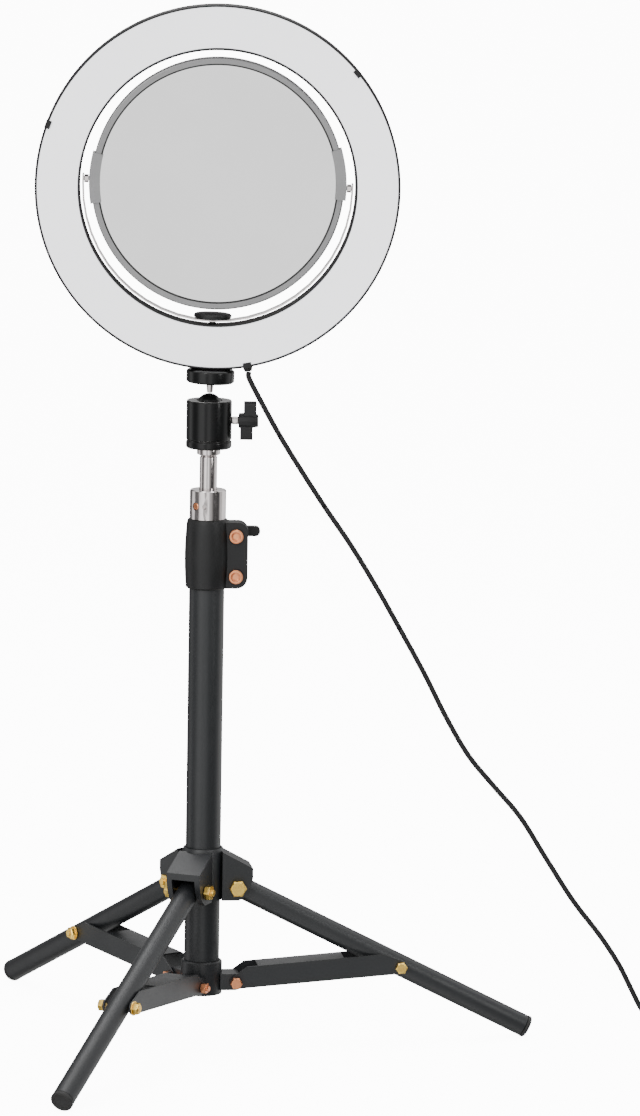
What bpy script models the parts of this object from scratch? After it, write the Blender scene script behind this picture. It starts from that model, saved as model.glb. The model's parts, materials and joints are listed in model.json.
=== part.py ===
"""A tabletop ring light: a folding tripod with a telescoping column, a ball head, an LED ring with a tilting mirror
in it, and a USB lead with an inline controller. The ring faces -Y, +Z is up, and the floor is Z = 0."""

import math

import bmesh
import bpy
from mathutils import Matrix, Vector

MM = 0.001
GAP = 0.3 * MM  # between pieces that rest on each other
ROUND_SIDES = 24
RING_SIDES = 48
SMALL_SIDES = 12
BOLT_SIDES = 12

# Where the column stands, so that the origin is under the middle of the whole light.
COLUMN_X = -46.3 * MM
COLUMN_Y = 13.2 * MM

# Column
TUBE_RADIUS = 12.7 * MM
TUBE_WALL = 1.2 * MM
TUBE_BOTTOM = 42 * MM
TUBE_TOP = 374 * MM
INNER_TUBE_RADIUS = 10.9 * MM
INNER_TUBE_WALL = 1.0 * MM
INNER_TUBE_BOTTOM = 104 * MM
INNER_TUBE_TOP = 383.7 * MM

# Tripod linkage: leg pivot A on the spider, brace pivot B on the lower bracket, and C where brace and leg meet.
LEG_AZIMUTHS = tuple(math.radians(degrees) for degrees in (6.5, 126.5, 246.5))
PIVOT_RADIUS = 24 * MM
LEG_LENGTH = 242 * MM
LEG_RADIUS = 8 * MM
LEG_PLUG_RADIUS = 8.2 * MM
LEG_PLUG_EDGE = 0.7 * MM
LEG_ANGLE = math.radians(63.3)  # from straight down
LEG_TO_BRACE = 135 * MM
BRACE_LENGTH = 121 * MM
BRACE_OUTER = 10.9 * MM  # half the channel's width
BRACE_INNER = 9.7 * MM
LUG_HALF = 9 * MM
BRACE_ANGLE = math.asin(LEG_TO_BRACE * math.sin(LEG_ANGLE) / BRACE_LENGTH)  # from straight up
LEG_PIVOT_Z = (LEG_LENGTH - LEG_PLUG_EDGE) * math.cos(LEG_ANGLE) + LEG_PLUG_RADIUS * math.sin(LEG_ANGLE)
BRACE_PIVOT_Z = LEG_PIVOT_Z - LEG_TO_BRACE * math.cos(LEG_ANGLE) - BRACE_LENGTH * math.cos(BRACE_ANGLE)

# Clamp collar at the top of the column
COLLAR_BOTTOM = 333.5 * MM
COLLAR_TOP = 383.6 * MM
COLLAR_RADIUS = 14.8 * MM
COLLAR_BULGE = 1.4 * MM
EAR_REACH = 29.2 * MM
EAR_HALF = 7.2 * MM
CLAMP_X = 20.6 * MM
CLAMP_UPPER_Z = 372 * MM
CLAMP_LOWER_Z = 342.8 * MM

# Spigot, ball head and platform
SOCKET_RADIUS = 13.1 * MM
SOCKET_BOTTOM = 384 * MM
SOCKET_TOP = 405 * MM
STUD_RADIUS = 6.3 * MM
BALL_RADIUS = 9.5 * MM
BALL_Z = 465 * MM
HOUSING_RADIUS = 16.3 * MM
HEAD_BASE = 434.9 * MM  # the bottom of the ring under the ball head's housing
HOUSING_BOTTOM = 441.3 * MM
HOUSING_TOP = 469.5 * MM
KNOB_Z = 455 * MM
PLATFORM_RADIUS = 17.2 * MM

# Head, measured from the ball's centre along the stem
HEAD_ROLL = math.radians(1.4)
PLATFORM_LOW = 17 * MM
PLATFORM_HIGH = 27 * MM
RING_RISE = 157.4 * MM
RING_RADIUS = 130 * MM
RING_INNER = 97.8 * MM
RING_HALF_DEPTH = 10 * MM
RING_WALL = 1.4 * MM
CLIP_ANGLES = tuple(math.radians(degrees) for degrees in (41.6, 161.6, 281.6))
MIRROR_RISE = RING_RISE + 2.5 * MM
MIRROR_RADIUS = 89.9 * MM
MIRROR_HALF_DEPTH = 6 * MM
GLASS_RADIUS = 84.6 * MM
YOKE_RADIUS = 95.8 * MM
YOKE_THICKNESS = 1.2 * MM
YOKE_HALF_WIDTH = 5 * MM

# Lead: from the gland to the controller, then a coil and the plug, measured from the column
CORD_RADIUS = 2 * MM
CONTROLLER_X = 380 * MM
CONTROLLER_LENGTH = 54 * MM
CONTROLLER_WIDTH = 20 * MM
CONTROLLER_HEIGHT = 11 * MM
CORD_INLET_Z = 5.5 * MM
COIL_RADIUS = 22 * MM
COIL_HALF_WIDTH = 8.2 * MM
COIL_HEIGHT = 16.4 * MM
COIL_EDGE = 28.2 * MM  # the radius at which the lead meets the coil


def look(name, color, roughness, metallic=0.0):
    material = bpy.data.materials.new(name)
    material.use_nodes = True
    shader = material.node_tree.nodes["Principled BSDF"]
    shader.inputs["Base Color"].default_value = (*color, 1)
    shader.inputs["Roughness"].default_value = roughness
    shader.inputs["Metallic"].default_value = metallic
    return material


def empty(name, parent=None, location=(0, 0, 0), rotation=(0, 0, 0)):
    holder = bpy.data.objects.new(name, None)
    bpy.context.collection.objects.link(holder)
    holder.parent = parent
    holder.location = location
    holder.rotation_euler = rotation
    return holder


def piece(name, shape, material, parent=None, location=(0, 0, 0), rotation=(0, 0, 0)):
    """An object made from a bmesh, placed under its parent."""
    mesh = bpy.data.meshes.new(name)
    bmesh.ops.recalc_face_normals(shape, faces=shape.faces)
    shape.to_mesh(mesh)
    shape.free()
    mesh.shade_smooth()
    mesh.set_sharp_from_angle(angle=math.radians(35))
    made = bpy.data.objects.new(name, mesh)
    made.data.materials.append(material)
    bpy.context.collection.objects.link(made)
    made.parent = parent
    made.location = location
    made.rotation_euler = rotation
    return made


def boolean(target, shape, operation):
    """Cuts a shape from the target or joins it on, in the target's own axes."""
    tool = piece(f"{target.name}_tool_{len(target.modifiers)}", shape, target.data.materials[0], target)
    tool.hide_render = True
    tool.display_type = "WIRE"
    modifier = target.modifiers.new(operation.lower(), "BOOLEAN")
    modifier.operation = operation
    modifier.solver = "EXACT"
    modifier.object = tool


def cut(target, shape):
    boolean(target, shape, "DIFFERENCE")


def fuse(target, shape):
    boolean(target, shape, "UNION")


def turned(rows, sides=ROUND_SIDES, closed=False, hexes=()):
    """A shape turned about Z from (radius, z) rows. A closed one joins its last row to its first, as a tube does.
    The rows numbered in hexes are six-sided, with the radius at their corners."""
    shape = bmesh.new()
    rings = []
    for index, (radius, z) in enumerate(rows):
        ring = []
        for step in range(sides):
            angle = math.tau * step / sides
            reach = radius
            if index in hexes:
                reach *= math.cos(math.pi / 6) / math.cos(angle % (math.pi / 3) - math.pi / 6)
            ring.append(shape.verts.new((reach * math.cos(angle), reach * math.sin(angle), z)))
        rings.append(ring)
    pairs = list(zip(rings, rings[1:]))
    if closed:
        pairs.append((rings[-1], rings[0]))
    else:
        shape.faces.new(rings[0])
        shape.faces.new(rings[-1])
    for low, high in pairs:
        for i in range(sides):
            j = (i + 1) % sides
            shape.faces.new((low[i], low[j], high[j], high[i]))
    return shape


def prism(outline, low, high, along="Y"):
    """An outline of (u, v) points, pushed from low to high. Along Y the outline lies in XZ, along Z in XY."""
    shape = bmesh.new()
    ends = []
    for level in (low, high):
        if along == "Y":
            ends.append([shape.verts.new((u, level, v)) for u, v in outline])
        elif along == "X":
            ends.append([shape.verts.new((level, u, v)) for u, v in outline])
        else:
            ends.append([shape.verts.new((u, v, level)) for u, v in outline])
    shape.faces.new(ends[0])
    shape.faces.new(ends[1])
    for i in range(len(outline)):
        j = (i + 1) % len(outline)
        shape.faces.new((ends[0][i], ends[0][j], ends[1][j], ends[1][i]))
    return shape


def block(low, high):
    outline = [(low[0], low[2]), (high[0], low[2]), (high[0], high[2]), (low[0], high[2])]
    return prism(outline, low[1], high[1])


def arc(x, y, radius, start, end, steps):
    """Points on an arc, from start to end in degrees."""
    angles = [math.radians(start + (end - start) * i / steps) for i in range(steps + 1)]
    return [(x + radius * math.cos(a), y + radius * math.sin(a)) for a in angles]


def rounded(low, high, radius, steps=4):
    """The outline of a rectangle with round corners."""
    (x0, y0), (x1, y1) = low, high
    points = arc(x1 - radius, y1 - radius, radius, 0, 90, steps)
    points += arc(x0 + radius, y1 - radius, radius, 90, 180, steps)
    points += arc(x0 + radius, y0 + radius, radius, 180, 270, steps)
    points += arc(x1 - radius, y0 + radius, radius, 270, 360, steps)
    return points


def moved(shape, rotation=None, offset=(0, 0, 0)):
    matrix = Matrix.Translation(Vector(offset))
    if rotation:
        matrix = matrix @ rotation
    bmesh.ops.transform(shape, matrix=matrix, verts=shape.verts)
    return shape


def turn(degrees, axis):
    return Matrix.Rotation(math.radians(degrees), 4, axis)


def rod(radius, low, high, sides=BOLT_SIDES):
    return turned([(radius, low), (radius, high)], sides)


def tube(radius, wall, low, high, sides=ROUND_SIDES):
    rows = [(radius, low), (radius, high), (radius - wall, high), (radius - wall, low)]
    return turned(rows, sides, closed=True)


for leftover in list(bpy.data.objects):
    bpy.data.objects.remove(leftover)

BLACK_METAL = look("black_powder_coat", (0.02, 0.021, 0.022), 0.42, 0.3)
BLACK_PLASTIC = look("black_moulded_plastic", (0.012, 0.012, 0.013), 0.5)
CHROME = look("chrome", (0.75, 0.74, 0.73), 0.15, 1)
YELLOW_ZINC = look("yellow_zinc", (0.75, 0.62, 0.30), 0.3, 1)
COPPER_ZINC = look("copper_zinc", (0.72, 0.38, 0.25), 0.3, 1)
MILKY = look("milky_diffuser", (0.76, 0.76, 0.76), 0.5)
MIRROR_GLASS = look("mirror_glass", (0.68, 0.68, 0.68), 0.05, 1)
GREY_METAL = look("grey_mirror_frame", (0.5, 0.5, 0.5), 0.3, 0.8)
BOARD_WHITE = look("white_circuit_board", (0.8, 0.8, 0.78), 0.5)
CORD_BLACK = look("black_cord", (0.015, 0.015, 0.016), 0.45)
RUBBER = look("black_rubber", (0.02, 0.02, 0.02), 0.7)

column = empty("column_axis", location=(COLUMN_X, COLUMN_Y, 0))


def make_column():
    piece("column_tube", tube(TUBE_RADIUS, TUBE_WALL, TUBE_BOTTOM, TUBE_TOP), BLACK_METAL, column)
    inside = TUBE_RADIUS - TUBE_WALL - GAP
    rows = [
        (TUBE_RADIUS, TUBE_BOTTOM - 4 * MM),
        (TUBE_RADIUS, TUBE_BOTTOM - GAP),
        (inside, TUBE_BOTTOM - GAP),
        (inside, TUBE_BOTTOM + 12 * MM),
    ]
    piece("column_foot_plug", turned(rows), BLACK_PLASTIC, column)
    slider = empty("column_slide", column)
    piece(
        "inner_tube",
        tube(INNER_TUBE_RADIUS, INNER_TUBE_WALL, INNER_TUBE_BOTTOM, INNER_TUBE_TOP),
        BLACK_METAL,
        slider,
    )
    bore = INNER_TUBE_RADIUS - INNER_TUBE_WALL - GAP
    rows = [
        (INNER_TUBE_RADIUS + 0.25 * MM, INNER_TUBE_BOTTOM - 6 * MM),
        (INNER_TUBE_RADIUS + 0.25 * MM, INNER_TUBE_BOTTOM - GAP),
        (bore, INNER_TUBE_BOTTOM - GAP),
        (bore, INNER_TUBE_BOTTOM + 10 * MM),
    ]
    piece("inner_tube_bush", turned(rows), BLACK_PLASTIC, slider)


def make_clamp():
    """A moulded collar with a split ear, pulled together by two bolts across the split."""
    height = COLLAR_TOP - COLLAR_BOTTOM
    profile = [(COLLAR_RADIUS - 0.8 * MM, COLLAR_BOTTOM)]
    for step in range(7):
        share = step / 6
        bulge = COLLAR_BULGE * math.sin(math.pi * (0.1 + 0.85 * share))
        profile.append((COLLAR_RADIUS + bulge, COLLAR_BOTTOM + (0.02 + 0.93 * share) * height))
    profile.append((COLLAR_RADIUS - 0.6 * MM, COLLAR_TOP))
    collar = piece("clamp_collar", turned(profile), BLACK_PLASTIC, column)
    ear = [(8 * MM, COLLAR_BOTTOM + 0.5 * MM)]
    ear += arc(EAR_REACH - 8 * MM, COLLAR_BOTTOM + 8.5 * MM, 8 * MM, 270, 360, 5)
    ear += arc(EAR_REACH - 7 * MM, COLLAR_TOP - 8.5 * MM, 7 * MM, 0, 90, 5)
    ear += [(8 * MM, COLLAR_TOP - 1.5 * MM)]
    fuse(collar, prism(ear, -EAR_HALF, EAR_HALF))
    cut(collar, rod(TUBE_RADIUS + GAP, COLLAR_BOTTOM - MM, TUBE_TOP + GAP, ROUND_SIDES))
    cut(collar, rod(INNER_TUBE_RADIUS + 0.5 * MM, TUBE_TOP - MM, COLLAR_TOP + MM, ROUND_SIDES))
    slit = (5 * MM, -0.7 * MM, COLLAR_BOTTOM - MM), (EAR_REACH + MM, 0.7 * MM, COLLAR_TOP + MM)
    cut(collar, block(*slit))
    for z in (CLAMP_UPPER_Z, CLAMP_LOWER_Z):
        hole = moved(rod(2.8 * MM, -10 * MM, 10 * MM), turn(90, "X"), (CLAMP_X, 0, z))
        cut(collar, hole)
    head = EAR_HALF + GAP
    for name, z, back in (
        ("clamp_upper_bolt", CLAMP_UPPER_Z, EAR_HALF + 6 * MM),
        ("clamp_lower_bolt", CLAMP_LOWER_Z, EAR_HALF + 3.5 * MM),
    ):
        rows = [
            (3.6 * MM, head + 2.6 * MM),
            (5.2 * MM, head + 1.9 * MM),
            (5.2 * MM, head),
            (2.4 * MM, head),
            (2.4 * MM, -back),
        ]
        piece(name, turned(rows, SMALL_SIDES), COPPER_ZINC, column, (CLAMP_X, 0, z), (math.pi / 2, 0, 0))
    make_clamp_knob()


def make_clamp_knob():
    """The wing knob behind the ear turns on the upper bolt's thread."""
    knob = piece(
        "clamp_knob",
        turned(
            [
                (5.5 * MM, EAR_HALF + GAP),
                (5.5 * MM, 16.8 * MM),
                (7 * MM, 17.5 * MM),
                (7 * MM, 24 * MM),
                (6 * MM, 25 * MM),
            ],
            SMALL_SIDES,
        ),
        BLACK_PLASTIC,
        column,
        (CLAMP_X, 0, CLAMP_UPPER_Z),
        (-math.pi / 2, 0, 0),
    )
    wing = rounded((-17.4 * MM, -3.6 * MM), (17.4 * MM, 3.6 * MM), 3.4 * MM)
    fuse(knob, prism(wing, 18 * MM, 24.4 * MM, "Z"))
    cut(knob, rod(2.8 * MM, EAR_HALF - MM, EAR_HALF + 8 * MM))


def make_spider():
    """Three arms with slots for the legs, on a sleeve that slides on the column."""
    slider = empty("spider_slide", column, (0, 0, LEG_PIVOT_Z))
    rows = [
        (15.2 * MM, -9.4 * MM),
        (15.2 * MM, 26.3 * MM),
        (14.2 * MM, 28.3 * MM),
        (13.2 * MM, 28.3 * MM),
        (13.2 * MM, -9.4 * MM),
    ]
    spider = piece("spider", turned(rows, closed=True), BLACK_METAL, slider)
    side = [(12.9, 26.3), (35.3, 14.2), (35.3, 7), (33.2, 0.2), (29.8, -6.2), (25.2, -9.4), (12.9, -9.4)]
    side = [(x * MM, z * MM) for x, z in side]
    slot = [(15.3, -12), (40, -12), (40, 9.5), (15.3, 9.5)]
    slot = [(x * MM, z * MM) for x, z in slot]
    for azimuth in LEG_AZIMUTHS:
        fuse(spider, moved(prism(side, -13 * MM, 13 * MM), Matrix.Rotation(azimuth, 4, "Z")))
    cut(spider, rod(13.2 * MM, -12 * MM, 32 * MM, ROUND_SIDES))
    for azimuth in LEG_AZIMUTHS:
        around = Matrix.Rotation(azimuth, 4, "Z")
        cut(spider, moved(prism(slot, -8.9 * MM, 8.9 * MM), around))
        hole = moved(rod(2.8 * MM, -16 * MM, 16 * MM), turn(90, "X"), (PIVOT_RADIUS, 0, 0))
        cut(spider, moved(hole, around))
    for number, azimuth in enumerate(LEG_AZIMUTHS, 1):
        arm = empty(f"arm_{number}", slider, rotation=(0, 0, azimuth))
        bolt(f"leg_{number}_pivot_bolt", arm, 6.4 * MM, 13 * MM + GAP, 4.8 * MM, YELLOW_ZINC)
        make_leg(number, arm)


def bolt(name, parent, corner, seat, head, material, radius=2.4 * MM):
    """A hex bolt through a pivot, with its head on the -tangent side and its nut on the other."""
    nut = corner * 0.86
    rows = [
        (corner * 0.8, seat + head),
        (corner, seat + head * 0.8),
        (corner, seat),
        (radius, seat),
        (radius, -seat),
        (nut, -seat),
        (nut, -seat - head * 0.9),
        (radius, -seat - head * 0.9),
        (radius, -seat - head * 1.3),
    ]
    shape = turned(rows, BOLT_SIDES, hexes=(1, 2, 5, 6))
    piece(name, shape, material, parent, (PIVOT_RADIUS, 0, 0), (math.pi / 2, 0, 0))


def make_leg(number, arm):
    """A leg tube that swings on its pivot bolt, with an end plug."""
    hinge = empty(f"leg_{number}_hinge", arm, (PIVOT_RADIUS, 0, 0), (0, -LEG_ANGLE, 0))
    leg = piece(
        f"leg_{number}_tube",
        tube(LEG_RADIUS, TUBE_WALL, -LEG_LENGTH + 3 * MM, 3 * MM, 16),
        BLACK_METAL,
        hinge,
    )
    cut(leg, moved(rod(2.7 * MM, -10 * MM, 10 * MM), turn(90, "X")))
    inside = LEG_RADIUS - TUBE_WALL - GAP
    rows = [
        (LEG_PLUG_RADIUS - LEG_PLUG_EDGE, -LEG_LENGTH),
        (LEG_PLUG_RADIUS, -LEG_LENGTH + LEG_PLUG_EDGE),
        (LEG_PLUG_RADIUS, -LEG_LENGTH + 3 * MM - GAP),
        (inside, -LEG_LENGTH + 3 * MM - GAP),
        (inside, -LEG_LENGTH + 14 * MM),
    ]
    piece(f"leg_{number}_foot_plug", turned(rows, 16), RUBBER, hinge)


def make_bracket():
    """The lower bracket is fixed to the column and carries a lug for each brace."""
    low = -9 * MM
    rows = [
        (14.9 * MM, low),
        (14.9 * MM, 14.5 * MM),
        (13.9 * MM, 15.5 * MM),
        (TUBE_RADIUS + GAP, 15.5 * MM),
        (TUBE_RADIUS + GAP, low),
    ]
    base = empty("bracket_base", column, (0, 0, BRACE_PIVOT_Z))
    bracket = piece("lower_bracket", turned(rows, closed=True), BLACK_METAL, base)
    lug = [(12.9 * MM, -6 * MM)]
    lug += arc(PIVOT_RADIUS, 0, 6 * MM, -90, 90, 6)
    lug += [(12.9 * MM, 6 * MM)]
    for azimuth in LEG_AZIMUTHS:
        around = Matrix.Rotation(azimuth, 4, "Z")
        fuse(bracket, moved(prism(lug, -LUG_HALF, LUG_HALF), around))
    cut(bracket, rod(TUBE_RADIUS + GAP, low - MM, 20 * MM, ROUND_SIDES))
    for number, azimuth in enumerate(LEG_AZIMUTHS, 1):
        around = Matrix.Rotation(azimuth, 4, "Z")
        hole = moved(rod(2.5 * MM, -14 * MM, 14 * MM), turn(90, "X"), (PIVOT_RADIUS, 0, 0))
        cut(bracket, moved(hole, around))
        arm = empty(f"brace_arm_{number}", base, rotation=(0, 0, azimuth))
        bolt(f"brace_{number}_inner_bolt", arm, 4.6 * MM, BRACE_OUTER + GAP, 4.4 * MM, COPPER_ZINC, 2.1 * MM)
        make_brace(number, arm)


def make_brace(number, arm):
    """A channel with its web on top, which is cut back at both ends to clear the bracket and the leg."""
    hinge = empty(f"brace_{number}_hinge", arm, (PIVOT_RADIUS, 0, 0), (0, BRACE_ANGLE - math.pi / 2, 0))
    outer = BRACE_OUTER
    inner = BRACE_INNER
    side = arc(0, 0, 4.8 * MM, 135, 270, 4)
    side += arc(BRACE_LENGTH, 0, 4.8 * MM, -90, 45, 4)
    side += [(BRACE_LENGTH - 12 * MM, outer), (9 * MM, outer)]
    brace = piece(f"brace_{number}", prism(side, -outer, outer), BLACK_METAL, hinge)
    cut(brace, block((-20 * MM, -inner, -20 * MM), (BRACE_LENGTH + 20 * MM, inner, inner)))
    cut(brace, block((-20 * MM, -inner, 0), (17 * MM, inner, 20 * MM)))
    cut(brace, block((BRACE_LENGTH - 41 * MM, -inner, 0), (BRACE_LENGTH + 20 * MM, inner, 20 * MM)))
    cut(brace, moved(rod(2.5 * MM, -14 * MM, 14 * MM), turn(90, "X")))
    cut(brace, moved(rod(2.3 * MM, -14 * MM, 14 * MM), turn(90, "X"), (BRACE_LENGTH, 0, 0)))
    rows = [
        (3.6 * MM, outer + GAP + 4.0 * MM),
        (4.5 * MM, outer + GAP + 3.4 * MM),
        (4.5 * MM, outer + GAP),
        (2.0 * MM, outer + GAP),
        (2.0 * MM, inner + 0.1 * MM),
    ]
    head = turned(rows, BOLT_SIDES, hexes=(1, 2))
    name = f"brace_{number}_outer_bolt"
    piece(name, head, YELLOW_ZINC, hinge, (BRACE_LENGTH, 0, 0), (math.pi / 2, 0, 0))


def make_spigot():
    """A chrome socket on the inner tube, and the ball head's stud in it."""
    plug = INNER_TUBE_RADIUS - INNER_TUBE_WALL - GAP
    bore = STUD_RADIUS + GAP
    floor = SOCKET_TOP - 17 * MM
    rows = [
        (plug, SOCKET_BOTTOM - 12 * MM),
        (plug, SOCKET_BOTTOM),
        (SOCKET_RADIUS, SOCKET_BOTTOM),
        (SOCKET_RADIUS, SOCKET_TOP - 0.6 * MM),
        (SOCKET_RADIUS - 0.6 * MM, SOCKET_TOP),
        (bore, SOCKET_TOP),
        (bore, floor),
    ]
    socket = piece("spigot_socket", turned(rows, ROUND_SIDES), CHROME, column)
    middle = (SOCKET_BOTTOM + SOCKET_TOP) / 2 - 0.8 * MM
    for angle, radius in ((-133, 2.9 * MM), (-100, 1.9 * MM)):
        hole = moved(rod(radius, 8 * MM if radius < 2 * MM else 5 * MM, 16 * MM), turn(90, "Y"))
        cut(socket, moved(moved(hole, turn(angle, "Z")), offset=(0, 0, middle)))
    rows = [(2.6 * MM, STUD_RADIUS + 0.6 * MM), (2.6 * MM, 12.4 * MM), (1.9 * MM, 12.9 * MM)]
    across = (0, math.pi / 2, math.radians(-133))
    piece("socket_set_screw", turned(rows, BOLT_SIDES), COPPER_ZINC, column, (0, 0, middle), across)
    pan = empty("pan", column)
    rows = [
        (STUD_RADIUS, floor + GAP),
        (STUD_RADIUS, HEAD_BASE - 6.4 * MM),
        (5.4 * MM, HEAD_BASE - 5.7 * MM),
        (8.4 * MM, HEAD_BASE - 4.3 * MM),
        (8.4 * MM, HEAD_BASE - GAP),
        (3 * MM, HEAD_BASE - GAP),
        (3 * MM, HEAD_BASE + 4.1 * MM),
    ]
    piece("spigot_stud", turned(rows, 24), CHROME, pan)
    return pan


def make_ball_head(pan):
    """The base ring, the housing that grips the ball, and the wing knob that presses on it."""
    rows = [
        (15.2 * MM, HEAD_BASE),
        (16.4 * MM, HEAD_BASE + 1.1 * MM),
        (16.4 * MM, HEAD_BASE + 5.1 * MM),
        (15.4 * MM, HEAD_BASE + 5.7 * MM),
        (15.4 * MM, HOUSING_BOTTOM - GAP),
        (3.3 * MM, HOUSING_BOTTOM - GAP),
        (3.3 * MM, HEAD_BASE),
    ]
    piece("ball_head_base", turned(rows, closed=True), BLACK_METAL, pan)
    rows = [
        (HOUSING_RADIUS - 0.5 * MM, HOUSING_BOTTOM),
        (HOUSING_RADIUS, HOUSING_BOTTOM + 0.5 * MM),
        (HOUSING_RADIUS, HOUSING_TOP - 0.7 * MM),
        (HOUSING_RADIUS - 0.7 * MM, HOUSING_TOP),
    ]
    seat = BALL_RADIUS + 0.4 * MM
    for degrees in (27, 12, -4, -20, -36):
        angle = math.radians(degrees)
        rows.append((seat * math.cos(angle), BALL_Z + seat * math.sin(angle)))
    rows.append((7.5 * MM, BALL_Z - 9.5 * MM))
    rows.append((7.5 * MM, HOUSING_BOTTOM))
    housing = piece("ball_head_housing", turned(rows, closed=True), BLACK_METAL, pan)
    cut(housing, moved(rod(3 * MM, 5 * MM, 20 * MM), turn(90, "Y"), (0, 0, KNOB_Z)))
    reach = HOUSING_RADIUS
    rows = [
        (2.6 * MM, 6.5 * MM),
        (2.6 * MM, reach + 4.6 * MM),
        (5.5 * MM, reach + 5 * MM),
        (5.8 * MM, reach + 13 * MM),
        (4.6 * MM, reach + 19 * MM),
    ]
    screw = (0, math.pi / 2, 0)
    knob = piece("ball_lock_knob", turned(rows, SMALL_SIDES), BLACK_PLASTIC, pan, (0, 0, KNOB_Z), screw)
    # In the knob's own axes Z runs out along the screw, and X points down.
    for way in (1, -1):
        wing = rounded((-2.5 * MM, -3.6 * MM), (14 * MM, 3.6 * MM), 3 * MM, 3)
        blade = moved(prism(wing, reach + 6 * MM, reach + 15 * MM, "Z"), turn(0 if way > 0 else 180, "Z"))
        lean = 2.5 * MM if way < 0 else 0
        fuse(knob, moved(blade, offset=(0, 0, lean)))


def make_ball(pan):
    ball = bmesh.new()
    bmesh.ops.create_uvsphere(ball, u_segments=20, v_segments=12, radius=BALL_RADIUS)
    tilt = empty("ball_centre", pan, (0, 0, BALL_Z))
    piece("ball", ball, BLACK_METAL, tilt)
    return empty("head", tilt, rotation=(0, HEAD_ROLL, 0))


def lathe_y(rows, sides=RING_SIDES):
    """A ring turned about the head's fore and aft axis from (radius, y) rows."""
    return moved(turned(rows, sides, closed=True), turn(90, "X"))


def make_ring(head):
    """The housing is a channel open to the front. A negative height here is the back, because Z turns to -Y."""
    centre = (0, 0, RING_RISE)
    rows = [
        (2.2 * MM, BALL_RADIUS + 0.4 * MM),
        (2.1 * MM, 10.5 * MM),
        (2.9 * MM, PLATFORM_LOW + 1 * MM),
    ]
    piece("ball_stem", turned(rows, SMALL_SIDES), CHROME, head)
    rows = [
        (3.2 * MM, PLATFORM_LOW),
        (15.8 * MM, PLATFORM_LOW),
        (PLATFORM_RADIUS, PLATFORM_LOW + 1.2 * MM),
        (PLATFORM_RADIUS, PLATFORM_HIGH - 1.2 * MM),
        (PLATFORM_RADIUS - 1.2 * MM, PLATFORM_HIGH - GAP),
        (3.2 * MM, PLATFORM_HIGH - GAP),
    ]
    piece("mount_platform", turned(rows, closed=True), BLACK_METAL, head)
    depth = RING_HALF_DEPTH
    wall = RING_WALL
    rows = [
        (RING_RADIUS - 0.6 * MM, depth),
        (RING_RADIUS, depth - 0.8 * MM),
        (RING_RADIUS, -depth + 4 * MM),
        (RING_RADIUS - 4 * MM, -depth),
        (RING_INNER + 4 * MM, -depth),
        (RING_INNER, -depth + 4 * MM),
        (RING_INNER, depth),
        (RING_INNER + wall, depth),
        (RING_INNER + wall, -depth + 4.6 * MM),
        (RING_INNER + 4.6 * MM, -depth + wall),
        (RING_RADIUS - 4.6 * MM, -depth + wall),
        (RING_RADIUS - wall, -depth + 4.6 * MM),
        (RING_RADIUS - wall, depth),
    ]
    ring = piece("ring_housing", lathe_y(rows), BLACK_PLASTIC, head, centre)
    for angle in CLIP_ANGLES:
        side = [(126.4, -11), (130.4, -11), (130.4, -7.5), (128.8, -7.5), (128.8, -10), (126.4, -10)]
        clip = prism([(x * MM, y * MM) for x, y in side], -3 * MM, 3 * MM, "Z")
        fuse(ring, moved(clip, Matrix.Rotation(-angle, 4, "Y")))
    bottom = moved(rod(2.9 * MM, -RING_INNER - 3 * MM, -RING_INNER + 2 * MM))
    cut(ring, bottom)
    face = depth - 0.3 * MM
    rows = [
        (RING_RADIUS - wall - GAP, face),
        (RING_INNER + wall + GAP, face),
        (RING_INNER + wall + GAP, face - 2 * MM),
        (RING_RADIUS - wall - GAP, face - 2 * MM),
    ]
    piece("diffuser", lathe_y(rows), MILKY, head, centre)
    rows = [
        (RING_RADIUS - wall - MM, -4 * MM),
        (RING_INNER + wall + MM, -4 * MM),
        (RING_INNER + wall + MM, -5.2 * MM),
        (RING_RADIUS - wall - MM, -5.2 * MM),
    ]
    piece("led_board", lathe_y(rows), BOARD_WHITE, head, centre)
    make_foot(head)


def make_foot(head):
    """The foot fills the space between the platform and the ring's round rim."""
    half = 14 * MM
    reach = RING_RADIUS + GAP
    angle = math.degrees(math.asin(half / reach))
    outline = [(-half, PLATFORM_HIGH), (half, PLATFORM_HIGH)]
    outline += arc(0, RING_RISE, reach, -90 + angle, -90 - angle, 8)
    piece("mount_foot", prism(outline, -7 * MM, 7 * MM), BLACK_PLASTIC, head)
    angle = CLIP_ANGLES[2]
    rows = [
        (3.4 * MM, RING_RADIUS + GAP),
        (3.4 * MM, RING_RADIUS + 1.6 * MM),
        (2.6 * MM, RING_RADIUS + 4 * MM),
    ]
    spin = Matrix.Rotation(math.pi / 2 - angle, 4, "Y")
    piece("cable_gland", moved(turned(rows, SMALL_SIDES), spin), RUBBER, head, (0, 0, RING_RISE))


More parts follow.
